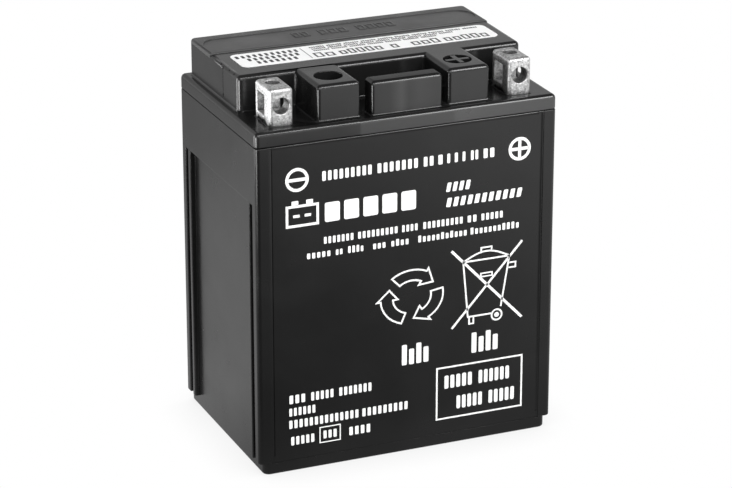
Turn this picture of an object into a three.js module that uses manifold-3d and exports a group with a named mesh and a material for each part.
// A 12 V sealed motorcycle battery of 134 x 89 x 166 mm, in millimetres.
// +X runs along the length, +Y from the printed front to the back, +Z up.
// The origin is the middle of the underside.
import * as THREE from 'three';
import { mergeVertices } from 'three/addons/utils/BufferGeometryUtils.js';
import Module from 'manifold-3d';

const wasm = await Module();
wasm.setup();

// ---------------------------------------------------------------- dimensions

const LENGTH = 134;
const WIDTH = 89;
const HEIGHT = 166;
const HALF_LENGTH = LENGTH / 2;
const HALF_WIDTH = WIDTH / 2;

const SEAT_GAP = 0.05;     // between flat faces that rest on each other
const FIT_GAP = 0.3;       // between pieces that slide, fold or weld together
const CUT = 1;             // how far a cutting tool runs past the face it opens

// Case
const SEAM_Z = 143.9;
const CASE_TOP = SEAM_Z - FIT_GAP;
const CORNER_RADIUS = 2;
const FOOT_HEIGHT = 5;
const FOOT_INSET_X = 2.2;
const FOOT_INSET_Y = 0.1;
const FOOT_RADIUS = 3;
const END_BAND_Z = 118.2;        // underside of the flush band on the end faces
const END_PANEL_HALF = 33.8;     // half width of the sunk end panel
const RIB_SLOT = [36.6, 39.4];   // slot between the corner pillar and the rib beside it
const FACE_PANEL_HALF = 61.2;    // half width of the sunk print panel
const FACE_PANEL_DEPTH = 0.4;
const CASE_FLOOR = 3;
const INSIDE_HALF_X = 62.4;
const INSIDE_HALF_Y = 41.6;

// Cells
const CELLS = 6;
const PARTITION = 1.6;
const CELL_PITCH = (2 * INSIDE_HALF_X + PARTITION) / CELLS;
const CELL_ROOM = CELL_PITCH - PARTITION;

// Plate groups
const POSITIVE_PLATE = 2.0;
const NEGATIVE_PLATE = 1.5;
const PLATE_GAP = 1.1;
const PLATE_PITCH = (POSITIVE_PLATE + NEGATIVE_PLATE) / 2 + PLATE_GAP;
const PLATE_HALF_Y = 39.6;
const PLATE_BOTTOM = 5;
const PLATE_TOP = 117;
const MAT_THICKNESS = 0.5;
const MAT_BOTTOM = 3.6;
const MAT_TOP = 119.5;
const STRAP_Y = 30;
const STRAP_HALF_X = 9.2;
const STRAP_HALF_Y = 6;
const STRAP_BOTTOM = 121.5;
const STRAP_TOP = 126.5;
const LUG_HALF_Y = 5;

// Lead pieces between the cells and up to the terminals
const TAB_THICKNESS = 3;
const TAB_HALF_Y = 5;
const TAB_TOP = 137;
const WELD_RADIUS = 3.5;
const WELD_Z = 131.8;
const POST_RADIUS = 4.5;

// Lid
const LEDGE_Z = 151.1;
const DECK = 3;
const LID_WALL = 3;
const BLOCK_HALF_X = 63.4;
const BLOCK_FRONT = -16.1;
const BLOCK_BACK = 41.3;
const BLOCK_RADIUS = 2.2;
const BLOCK_TOP = 165.5;
const BLOCK_WALL = 2;
const BOSS_FRONT = -40.2;
const LEFT_BOSS_X = [-38.4, -19.5];
const RIGHT_BOSS_X = [19.3, 38.0];
const BOSS_HOLLOW_TOP = 155.5;
const BOSS_HOLE_RADIUS = 6;
const BOSS_HOLE_DEPTH = 8;
const BOSS_HOLE_Y = -28.4;
const PLUS_ARM = 5.2;
const PLUS_WIDTH = 2.2;
const BRIDGE_X = [-15, 16.5];
const BRIDGE_Y = [-41, -32.6];
const BRIDGE_TOP = 164.6;

// Filler ports and the strip of plugs that closes them
const STRIP_FRONT = 16.8;
const STRIP_BOTTOM = 164.15;
const PORT_Y = 28.75;
const PORT_RADIUS = 6;
const PORT_OUTER_RADIUS = 7.7;
const PORT_TOP = 163.6;
const PLUG_RADIUS = PORT_RADIUS - FIT_GAP;
const PLUG_BORE_RADIUS = 4.2;
const PLUG_BOTTOM = 154.5;
const STRIP_DISH_DEPTH = 0.4;
const STRIP_DISH_RADIUS = 8.8;
const STRIP_DISH_HALF_X = 61.9;
const STRIP_DISH_Y = 27.6;

// Vent gallery under the label
const GALLERY_HALF_X = 55.3;
const GALLERY_Y = [-3.4, 9.4];
const COVER_MARGIN = 1;
const COVER_BOTTOM = 164.1;
const CHIMNEY_SPREAD = 0.96;     // chimneys stand slightly inboard of their cells
const CHIMNEY_Y = 3;
const CHIMNEY_RADIUS = 3;
const CHIMNEY_BORE_RADIUS = 1.2;
const CHIMNEY_TOP = 157;
const VALVE_RADIUS = 4.2;
const VALVE_BOTTOM = 152.2;
const VALVE_TOP = 158.6;
const STOP_PIN_RADIUS = 2;
const STOP_PIN_BOTTOM = 159.4;
const VENT_Y = 1.4;
const ARRESTOR_Z = 155.2;
const ARRESTOR_RADIUS = 3;
const ARRESTOR_X = [-60.2, -57.4];
const VENT_HOLE_Z = 152.9;
const VENT_HOLE_RADIUS = 0.6;

// Label
const LABEL_X = [-57, 58.7];
const LABEL_Y = [-6, 12.1];
const LABEL_RADIUS = 3;
const LABEL_THICKNESS = 0.15;

// Terminals
const NEGATIVE_X = -53.5;
const POSITIVE_X = 52.3;
const TERMINAL_HALF_X = 5.15;
const TERMINAL_Y = [-39, -22.4];
const TERMINAL_BOTTOM = LEDGE_Z + SEAT_GAP;
const TERMINAL_MIDDLE_Y = (TERMINAL_Y[0] + TERMINAL_Y[1]) / 2;
const POCKET_Y = [-32.9, -24.9];
const POCKET_Z = [153.5, 162];
const FRONT_HOLE_RADIUS = 3.45;
const FRONT_HOLE_Z = 158.6;
const TOP_HOLE_RADIUS = 3.1;
const TOP_HOLE_Y = -29.2;
const SEAL_RADIUS = 6.2;

// -------------------------------------------------------------------- shapes

function box(x, y, z) {
  const geometry = new THREE.BoxGeometry(x[1] - x[0], y[1] - y[0], z[1] - z[0]);
  geometry.translate((x[0] + x[1]) / 2, (y[0] + y[1]) / 2, (z[0] + z[1]) / 2);
  return geometry;
}

function aroundZero(half) {
  return [-half, half];
}

// A plan outline with its own radius at each corner: front right, back right,
// back left and front left.
function outline(x, y, radii) {
  const [frontRight, backRight, backLeft, frontLeft] = radii;
  const shape = new THREE.Shape();
  shape.moveTo(x[0] + frontLeft, y[0]);
  shape.lineTo(x[1] - frontRight, y[0]);
  corner(shape, x[1] - frontRight, y[0] + frontRight, frontRight, -Math.PI / 2);
  shape.lineTo(x[1], y[1] - backRight);
  corner(shape, x[1] - backRight, y[1] - backRight, backRight, 0);
  shape.lineTo(x[0] + backLeft, y[1]);
  corner(shape, x[0] + backLeft, y[1] - backLeft, backLeft, Math.PI / 2);
  shape.lineTo(x[0], y[0] + frontLeft);
  corner(shape, x[0] + frontLeft, y[0] + frontLeft, frontLeft, Math.PI);
  return shape;
}

function corner(shape, x, y, radius, start) {
  if (radius > 0) {
    shape.absarc(x, y, radius, start, start + Math.PI / 2, false);
  }
}

function roundedOutline(x, y, radius) {
  return outline(x, y, [radius, radius, radius, radius]);
}

// A plan shape drawn up from z[0] to z[1].
function prism(shape, z, curveSegments = 4) {
  const settings = { depth: z[1] - z[0], bevelEnabled: false, curveSegments };
  const geometry = new THREE.ExtrudeGeometry(shape, settings);
  geometry.translate(0, 0, z[0]);
  return geometry;
}

function uprightCylinder(radius, x, y, z, sides) {
  const geometry = new THREE.CylinderGeometry(radius, radius, z[1] - z[0], sides);
  geometry.rotateX(Math.PI / 2);
  geometry.translate(x, y, (z[0] + z[1]) / 2);
  return geometry;
}

// A cylinder along X.
function lengthwiseCylinder(radius, x, y, z, sides) {
  const geometry = new THREE.CylinderGeometry(radius, radius, x[1] - x[0], sides);
  geometry.rotateZ(Math.PI / 2);
  geometry.translate((x[0] + x[1]) / 2, y, z);
  return geometry;
}

// A cylinder along Y.
function crosswiseCylinder(radius, x, y, z, sides) {
  const geometry = new THREE.CylinderGeometry(radius, radius, y[1] - y[0], sides);
  geometry.translate(x, (y[0] + y[1]) / 2, z);
  return geometry;
}

// A turned piece from [radius, z] points, given from the axis outwards and up.
function turned(points, sides) {
  const profile = points.map(([radius, z]) => new THREE.Vector2(radius, z));
  const geometry = new THREE.LatheGeometry(profile, sides);
  geometry.rotateX(Math.PI / 2);
  return geometry;
}

function toSolid(geometry) {
  const bare = geometry.clone();
  bare.deleteAttribute('normal');
  bare.deleteAttribute('uv');
  const merged = mergeVertices(bare, 1e-5);
  const mesh = new wasm.Mesh({
    numProp: 3,
    vertProperties: new Float32Array(merged.attributes.position.array),
    triVerts: new Uint32Array(merged.index.array),
  });
  return new wasm.Manifold(mesh);
}

function toGeometry(solid) {
  const mesh = solid.getMesh();
  const geometry = new THREE.BufferGeometry();
  geometry.setAttribute('position', new THREE.BufferAttribute(mesh.vertProperties, 3));
  geometry.setIndex(new THREE.BufferAttribute(mesh.triVerts, 1));
  geometry.computeVertexNormals();
  return geometry;
}

function join(solid, geometries) {
  return geometries.reduce((whole, geometry) => whole.add(toSolid(geometry)), solid);
}

function cut(solid, geometries) {
  return geometries.reduce((whole, geometry) => whole.subtract(toSolid(geometry)), solid);
}

// ----------------------------------------------------------------- materials

const FINISHES = {
  blackPlastic: { color: 0x1b1b1c, roughness: 0.42, metalness: 0 },
  rubber: { color: 0x2a2a2a, roughness: 0.8, metalness: 0 },
  resin: { color: 0x101010, roughness: 0.5, metalness: 0 },
  castLead: { color: 0xb4b6b8, roughness: 0.4, metalness: 0.9 },
  negativePaste: { color: 0x77797c, roughness: 0.85, metalness: 0.1 },
  positivePaste: { color: 0x4a2f22, roughness: 0.9, metalness: 0 },
  glassMat: { color: 0xf0efe9, roughness: 0.95, metalness: 0 },
  sinteredPlastic: { color: 0xe6e4dc, roughness: 0.9, metalness: 0 },
  paper: { color: 0xf4f4f2, roughness: 0.55, metalness: 0 },
};

function piece(name, geometry, finish) {
  const material = new THREE.MeshStandardMaterial(FINISHES[finish]);
  const mesh = new THREE.Mesh(geometry, material);
  mesh.name = name;
  return mesh;
}

// --------------------------------------------------------------------- cells

const cellIndices = Array.from({ length: CELLS }, (_, index) => index);
const cellCentres = cellIndices.map((index) => (index - (CELLS - 1) / 2) * CELL_PITCH);
const partitionCentres = cellCentres.slice(1).map((x) => x - CELL_PITCH / 2);

// Neighbouring cells are turned end for end, so that each positive strap
// stands beside the next cell's negative strap. The first is at the back.
function connectorY(partitionIndex) {
  return partitionIndex % 2 === 0 ? STRAP_Y : -STRAP_Y;
}

// Plates hanging on one strap. The strap is at strapY.
function plateGroup(plateCentres, thickness, strapY) {
  const lugY = [strapY - LUG_HALF_Y, strapY + LUG_HALF_Y];
  const strap = box(
    aroundZero(STRAP_HALF_X),
    [strapY - STRAP_HALF_Y, strapY + STRAP_HALF_Y],
    [STRAP_BOTTOM, STRAP_TOP],
  );
  const plates = plateCentres.flatMap((x) => {
    const plateX = [x - thickness / 2, x + thickness / 2];
    return [
      box(plateX, aroundZero(PLATE_HALF_Y), [PLATE_BOTTOM, PLATE_TOP]),
      box(plateX, lugY, [PLATE_TOP - CUT, STRAP_BOTTOM + CUT]),
    ];
  });
  return toGeometry(join(toSolid(strap), plates));
}

const positiveCentres = [-2, 0, 2].map((step) => step * PLATE_PITCH);
const negativeCentres = [-3, -1, 1, 3].map((step) => step * PLATE_PITCH);

// Middle of each gap between neighbouring plates, from one end of the cell to the other.
function gapCentres() {
  const plates = [
    ...positiveCentres.map((x) => ({ x, half: POSITIVE_PLATE / 2 })),
    ...negativeCentres.map((x) => ({ x, half: NEGATIVE_PLATE / 2 })),
  ].sort((first, second) => first.x - second.x);
  return plates.slice(1).map((next, index) => {
    const previous = plates[index];
    return (previous.x + previous.half + next.x - next.half) / 2;
  });
}

// One glass mat, folded back and forth so that it passes between all the plates.
function foldedMat() {
  const gaps = gapCentres();
  const half = MAT_THICKNESS / 2;
  const foldInside = PLATE_HALF_Y + FIT_GAP;
  const foldOutside = foldInside + MAT_THICKNESS;
  const height = [MAT_BOTTOM, MAT_TOP];
  const sheets = gaps.map((x) => box([x - half, x + half], aroundZero(foldOutside), height));
  const folds = gaps.slice(1).map((x, index) => {
    const foldX = [gaps[index] - half, x + half];
    const foldY = index % 2 === 0 ? [foldInside, foldOutside] : [-foldOutside, -foldInside];
    return box(foldX, foldY, height);
  });
  return toGeometry(join(toSolid(sheets[0]), [...sheets.slice(1), ...folds]));
}

// The pieces of one cell, around its own middle. Positive plates hang from the back strap.
function cell(index) {
  const group = new THREE.Group();
  const number = index + 1;
  const positive = plateGroup(positiveCentres, POSITIVE_PLATE, STRAP_Y);
  const negative = plateGroup(negativeCentres, NEGATIVE_PLATE, -STRAP_Y);
  group.add(piece(`positive_plates_${number}`, positive, 'positivePaste'));
  group.add(piece(`negative_plates_${number}`, negative, 'negativePaste'));
  group.add(piece(`separator_mat_${number}`, foldedMat(), 'glassMat'));
  group.position.x = cellCentres[index];
  group.rotation.z = index % 2 === 0 ? 0 : Math.PI;
  return group;
}

// Two tabs standing on neighbouring straps, welded through the hole in the partition.
function intercellConnector() {
  const inner = PARTITION / 2 + FIT_GAP;
  const outer = inner + TAB_THICKNESS;
  const tabY = aroundZero(TAB_HALF_Y);
  const tabZ = [STRAP_TOP + FIT_GAP, TAB_TOP];
  const weld = lengthwiseCylinder(WELD_RADIUS, aroundZero(inner + CUT), 0, WELD_Z, 16);
  const tabs = [box([-outer, -inner], tabY, tabZ), box([inner, outer], tabY, tabZ)];
  return toGeometry(join(toSolid(weld), tabs));
}

// ---------------------------------------------------------------------- case

function caseBody() {
  const footX = aroundZero(HALF_LENGTH - FOOT_INSET_X);
  const footY = aroundZero(HALF_WIDTH - FOOT_INSET_Y);
  const foot = prism(roundedOutline(footX, footY, FOOT_RADIUS), [0, FOOT_HEIGHT + CUT]);
  const walls = prism(
    roundedOutline(aroundZero(HALF_LENGTH), aroundZero(HALF_WIDTH), CORNER_RADIUS),
    [FOOT_HEIGHT, CASE_TOP],
  );
  return cut(join(toSolid(walls), [foot]), [
    ...endRecesses(),
    ...printPanels(),
    ...cellCavities(),
    ...weldHoles(),
  ]);
}

// The sunk panel and the two rib slots of each end face.
function endRecesses() {
  const height = [FOOT_HEIGHT - CUT, END_BAND_Z];
  const spans = [
    aroundZero(END_PANEL_HALF),
    RIB_SLOT,
    [-RIB_SLOT[1], -RIB_SLOT[0]],
  ];
  const sunk = HALF_LENGTH - FOOT_INSET_X;
  return spans.flatMap((span) => [
    box([sunk, HALF_LENGTH + CUT], span, height),
    box([-HALF_LENGTH - CUT, -sunk], span, height),
  ]);
}

// The shallow panels of the front and back faces.
function printPanels() {
  const x = aroundZero(FACE_PANEL_HALF);
  const sunk = HALF_WIDTH - FACE_PANEL_DEPTH;
  const height = [FOOT_HEIGHT, CASE_TOP + CUT];
  return [
    box(x, [-HALF_WIDTH - CUT, -sunk], height),
    box(x, [sunk, HALF_WIDTH + CUT], height),
  ];
}

function cellCavities() {
  return cellCentres.map((x) => box(
    [x - CELL_ROOM / 2, x + CELL_ROOM / 2],
    aroundZero(INSIDE_HALF_Y),
    [CASE_FLOOR, CASE_TOP + CUT],
  ));
}

function weldHoles() {
  return partitionCentres.map((x, index) => lengthwiseCylinder(
    WELD_RADIUS + FIT_GAP,
    [x - PARTITION, x + PARTITION],
    connectorY(index),
    WELD_Z,
    16,
  ));
}

// ----------------------------------------------------------------------- lid

const portCentres = cellCentres;
const chimneyCentres = cellCentres.map((x) => x * CHIMNEY_SPREAD);

function lidBody() {
  const edge = roundedOutline(aroundZero(HALF_LENGTH), aroundZero(HALF_WIDTH), CORNER_RADIUS);
  const band = prism(edge, [SEAM_Z, LEDGE_Z]);
  const blockOutline = roundedOutline(
    aroundZero(BLOCK_HALF_X),
    [BLOCK_FRONT, BLOCK_BACK],
    BLOCK_RADIUS,
  );
  const block = prism(blockOutline, [SEAM_Z + DECK, BLOCK_TOP]);
  const bossSpan = [BOSS_FRONT, BLOCK_FRONT + BLOCK_RADIUS + CUT];
  const bossHeight = [SEAM_Z + DECK, BLOCK_TOP];
  const shell = join(toSolid(band), [
    block,
    box(LEFT_BOSS_X, bossSpan, bossHeight),
    box(RIGHT_BOSS_X, bossSpan, bossHeight),
    box(BRIDGE_X, BRIDGE_Y, [SEAM_Z + DECK, BRIDGE_TOP]),
  ]);
  const hollow = cut(shell, [...undersideHollows(), ...topBays()]);
  const fitted = join(hollow, [...partitionSeals(), ...standingTubes()]);
  return cut(fitted, [...bores(), ...ventPath(), ...bossMarks()]);
}

// Hollows open to the cells, below the deck and inside the raised parts.
function undersideHollows() {
  const deckUnder = LEDGE_Z - DECK;
  const open = SEAM_Z - CUT;
  const wall = BLOCK_WALL;
  const skirt = prism(
    roundedOutline(
      aroundZero(HALF_LENGTH - LID_WALL),
      aroundZero(HALF_WIDTH - LID_WALL),
      CORNER_RADIUS / 2,
    ),
    [open, deckUnder],
  );
  const blockFront = box(
    aroundZero(BLOCK_HALF_X - wall),
    [BLOCK_FRONT + wall, GALLERY_Y[0] - wall],
    [open, BLOCK_TOP - wall],
  );
  const bosses = [LEFT_BOSS_X, RIGHT_BOSS_X].map((span) => box(
    [span[0] + wall, span[1] - wall],
    [BOSS_FRONT + wall, BLOCK_FRONT],
    [open, BOSS_HOLLOW_TOP],
  ));
  const bridge = box(
    [BRIDGE_X[0] + wall, BRIDGE_X[1] - wall],
    [BRIDGE_Y[0] + wall, BRIDGE_Y[1] - wall],
    [open, BRIDGE_TOP - wall],
  );
  return [skirt, blockFront, ...bosses, bridge];
}

// Bays open upwards: one under the strip, one under the label, with its rebate.
function topBays() {
  const above = HEIGHT + CUT;
  return [
    box(aroundZero(HALF_LENGTH), [STRIP_FRONT - 0.15, HALF_WIDTH], [STRIP_BOTTOM - SEAT_GAP, above]),
    box(
      aroundZero(BLOCK_HALF_X - BLOCK_WALL),
      [STRIP_FRONT + BLOCK_WALL, BLOCK_BACK - BLOCK_WALL],
      [LEDGE_Z, above],
    ),
    box(aroundZero(GALLERY_HALF_X), GALLERY_Y, [LEDGE_Z, above]),
    box(
      aroundZero(GALLERY_HALF_X + COVER_MARGIN + FIT_GAP),
      [GALLERY_Y[0] - COVER_MARGIN - FIT_GAP, GALLERY_Y[1] + COVER_MARGIN + FIT_GAP],
      [COVER_BOTTOM, above],
    ),
  ];
}

// Ribs that meet the case's partitions and keep the cells apart.
function partitionSeals() {
  const spans = [
    { y: aroundZero(HALF_WIDTH - LID_WALL - FIT_GAP), top: LEDGE_Z - CUT },
    { y: [BLOCK_FRONT + CUT, GALLERY_Y[0] - CUT], top: BLOCK_TOP - CUT },
  ];
  const seals = partitionCentres.flatMap((x) => spans.map(({ y, top }) => box(
    [x - PARTITION / 2, x + PARTITION / 2],
    y,
    [SEAM_Z, top],
  )));
  const bridgeSeal = box(
    aroundZero(PARTITION / 2),
    [BRIDGE_Y[0] + CUT, BRIDGE_Y[1] - CUT],
    [SEAM_Z, BRIDGE_TOP - CUT],
  );
  return [...seals, bridgeSeal];
}

// Filler ports and valve chimneys, standing on the deck.
function standingTubes() {
  const root = LEDGE_Z - CUT;
  return [
    ...portCentres.map((x) => uprightCylinder(PORT_OUTER_RADIUS, x, PORT_Y, [root, PORT_TOP], 16)),
    ...chimneyCentres.map((x) => uprightCylinder(
      CHIMNEY_RADIUS, x, CHIMNEY_Y, [root, CHIMNEY_TOP], 8,
    )),
  ];
}

function bores() {
  const under = SEAM_Z + CUT;
  const deckUnder = LEDGE_Z - DECK - CUT;
  return [
    ...portCentres.map((x) => uprightCylinder(PORT_RADIUS, x, PORT_Y, [deckUnder, HEIGHT], 16)),
    ...chimneyCentres.map((x) => uprightCylinder(
      CHIMNEY_BORE_RADIUS, x, CHIMNEY_Y, [deckUnder, HEIGHT], 6,
    )),
    ...[NEGATIVE_X, POSITIVE_X].map((x) => uprightCylinder(
      SEAL_RADIUS + FIT_GAP, x, TERMINAL_MIDDLE_Y, [under, LEDGE_Z + CUT], 16,
    )),
  ];
}

// From the gallery through the arrestor's pocket and out of the end of the block.
function ventPath() {
  const pocketX = [ARRESTOR_X[0] - SEAT_GAP, -GALLERY_HALF_X + CUT];
  const outside = -BLOCK_HALF_X - CUT;
  return [
    lengthwiseCylinder(ARRESTOR_RADIUS + FIT_GAP, pocketX, VENT_Y, ARRESTOR_Z, 12),
    lengthwiseCylinder(VENT_HOLE_RADIUS, [outside, ARRESTOR_X[0] + CUT], VENT_Y, VENT_HOLE_Z, 8),
  ];
}

// The blind hole in the left boss, and the ring around a plus in the right one.
function bossMarks() {
  const height = [BLOCK_TOP - BOSS_HOLE_DEPTH, BLOCK_TOP + CUT];
  const leftX = (LEFT_BOSS_X[0] + LEFT_BOSS_X[1]) / 2;
  const rightX = (RIGHT_BOSS_X[0] + RIGHT_BOSS_X[1]) / 2;
  const hole = uprightCylinder(BOSS_HOLE_RADIUS, leftX, BOSS_HOLE_Y, height, 24);
  const well = uprightCylinder(BOSS_HOLE_RADIUS, rightX, BOSS_HOLE_Y, height, 24);
  const arms = [
    box(
      [rightX - PLUS_ARM, rightX + PLUS_ARM],
      [BOSS_HOLE_Y - PLUS_WIDTH / 2, BOSS_HOLE_Y + PLUS_WIDTH / 2],
      height,
    ),
    box(
      [rightX - PLUS_WIDTH / 2, rightX + PLUS_WIDTH / 2],
      [BOSS_HOLE_Y - PLUS_ARM, BOSS_HOLE_Y + PLUS_ARM],
      height,
    ),
  ];
  return [hole, toGeometry(cut(toSolid(well), arms))];
}

// -------------------------------------------------------- strip, cover, label

function sealingStrip() {
  const plate = prism(
    outline(
      aroundZero(BLOCK_HALF_X),
      [STRIP_FRONT, BLOCK_BACK],
      [0, BLOCK_RADIUS, BLOCK_RADIUS, 0],
    ),
    [STRIP_BOTTOM, HEIGHT],
  );
  const dish = prism(
    roundedOutline(
      aroundZero(STRIP_DISH_HALF_X),
      [STRIP_DISH_Y - STRIP_DISH_RADIUS, STRIP_DISH_Y + STRIP_DISH_RADIUS],
      STRIP_DISH_RADIUS - SEAT_GAP,
    ),
    [HEIGHT - STRIP_DISH_DEPTH, HEIGHT + CUT],
    8,
  );
  const plugProfile = [
    [0, STRIP_BOTTOM - CUT],
    [PLUG_BORE_RADIUS, STRIP_BOTTOM - CUT],
    [PLUG_BORE_RADIUS, PLUG_BOTTOM],
    [PLUG_RADIUS, PLUG_BOTTOM],
    [PLUG_RADIUS, STRIP_BOTTOM + CUT],
    [0, STRIP_BOTTOM + CUT],
  ];
  const plugs = portCentres.map((x) => turned(plugProfile, 16).translate(x, PORT_Y, 0));
  return cut(join(toSolid(plate), plugs), [dish]);
}

// The plate welded over the vent gallery, with a pin above each valve to stop its lift.
function valveCover() {
  const plate = box(
    aroundZero(GALLERY_HALF_X + COVER_MARGIN),
    [GALLERY_Y[0] - COVER_MARGIN, GALLERY_Y[1] + COVER_MARGIN],
    [COVER_BOTTOM + SEAT_GAP, BLOCK_TOP],
  );
  const pins = chimneyCentres.map((x) => uprightCylinder(
    STOP_PIN_RADIUS, x, CHIMNEY_Y, [STOP_PIN_BOTTOM, COVER_BOTTOM + CUT], 12,
  ));
  return join(toSolid(plate), pins);
}

// A soft cap that sits over a chimney, around the chimney's own axis.
function reliefValve() {
  return turned([
    [0, CHIMNEY_TOP + FIT_GAP],
    [CHIMNEY_RADIUS + FIT_GAP, CHIMNEY_TOP + FIT_GAP],
    [CHIMNEY_RADIUS + FIT_GAP, VALVE_BOTTOM],
    [VALVE_RADIUS, VALVE_BOTTOM],
    [VALVE_RADIUS, VALVE_TOP],
    [0, VALVE_TOP],
  ], 12);
}

function topLabel() {
  const bottom = BLOCK_TOP + SEAT_GAP;
  return prism(roundedOutline(LABEL_X, LABEL_Y, LABEL_RADIUS), [bottom, bottom + LABEL_THICKNESS]);
}

// ----------------------------------------------------------------- terminals

// A cast block with a pocket for a square nut and a bolt hole in front and on top,
// around the terminal's own middle in X.
function terminalBlock() {
  const block = box(aroundZero(TERMINAL_HALF_X), TERMINAL_Y, [TERMINAL_BOTTOM, HEIGHT]);
  const pocketMiddleY = (POCKET_Y[0] + POCKET_Y[1]) / 2;
  const pocketMiddleZ = (POCKET_Z[0] + POCKET_Z[1]) / 2;
  return cut(toSolid(block), [
    box(aroundZero(TERMINAL_HALF_X + CUT), POCKET_Y, POCKET_Z),
    crosswiseCylinder(
      FRONT_HOLE_RADIUS, 0, [TERMINAL_Y[0] - CUT, pocketMiddleY], FRONT_HOLE_Z, 32,
    ),
    uprightCylinder(TOP_HOLE_RADIUS, 0, TOP_HOLE_Y, [pocketMiddleZ, HEIGHT + CUT], 32),
  ]);
}

function terminalSeal() {
  const bottom = LEDGE_Z - DECK;
  const top = LEDGE_Z - SEAT_GAP;
  const bore = POST_RADIUS + FIT_GAP;
  return turned([
    [bore, bottom],
    [SEAL_RADIUS, bottom],
    [SEAL_RADIUS, top],
    [bore, top],
    [bore, bottom],
  ], 16);
}

function terminalPost() {
  const height = [STRAP_TOP + FIT_GAP, TERMINAL_BOTTOM - FIT_GAP];
  return uprightCylinder(POST_RADIUS, 0, 0, height, 16);
}

// ------------------------------------------------------------------ assembly

const battery = new THREE.Group();

battery.add(piece('case', toGeometry(caseBody()), 'blackPlastic'));
battery.add(piece('lid', toGeometry(lidBody()), 'blackPlastic'));
battery.add(piece('sealing_strip', toGeometry(sealingStrip()), 'blackPlastic'));
battery.add(piece('valve_cover', toGeometry(valveCover()), 'blackPlastic'));
battery.add(piece('top_label', topLabel(), 'paper'));

cellIndices.forEach((index) => battery.add(cell(index)));

partitionCentres.forEach((x, index) => {
  const connector = piece(`intercell_connector_${index + 1}`, intercellConnector(), 'castLead');
  connector.position.set(x, connectorY(index), 0);
  battery.add(connector);
});

chimneyCentres.forEach((x, index) => {
  const valve = piece(`relief_valve_${index + 1}`, reliefValve(), 'rubber');
  valve.position.set(x, CHIMNEY_Y, 0);
  battery.add(valve);
});

const arrestorDisc = lengthwiseCylinder(ARRESTOR_RADIUS, ARRESTOR_X, VENT_Y, ARRESTOR_Z, 12);
battery.add(piece('flame_arrestor', arrestorDisc, 'sinteredPlastic'));

[['negative', NEGATIVE_X], ['positive', POSITIVE_X]].forEach(([pole, x]) => {
  const terminal = piece(`terminal_${pole}`, toGeometry(terminalBlock()), 'castLead');
  const seal = piece(`terminal_seal_${pole}`, terminalSeal(), 'resin');
  const post = piece(`terminal_post_${pole}`, terminalPost(), 'castLead');
  terminal.position.x = x;
  seal.position.set(x, TERMINAL_MIDDLE_Y, 0);
  post.position.set(x, TERMINAL_MIDDLE_Y, 0);
  battery.add(terminal, seal, post);
});

export default battery;
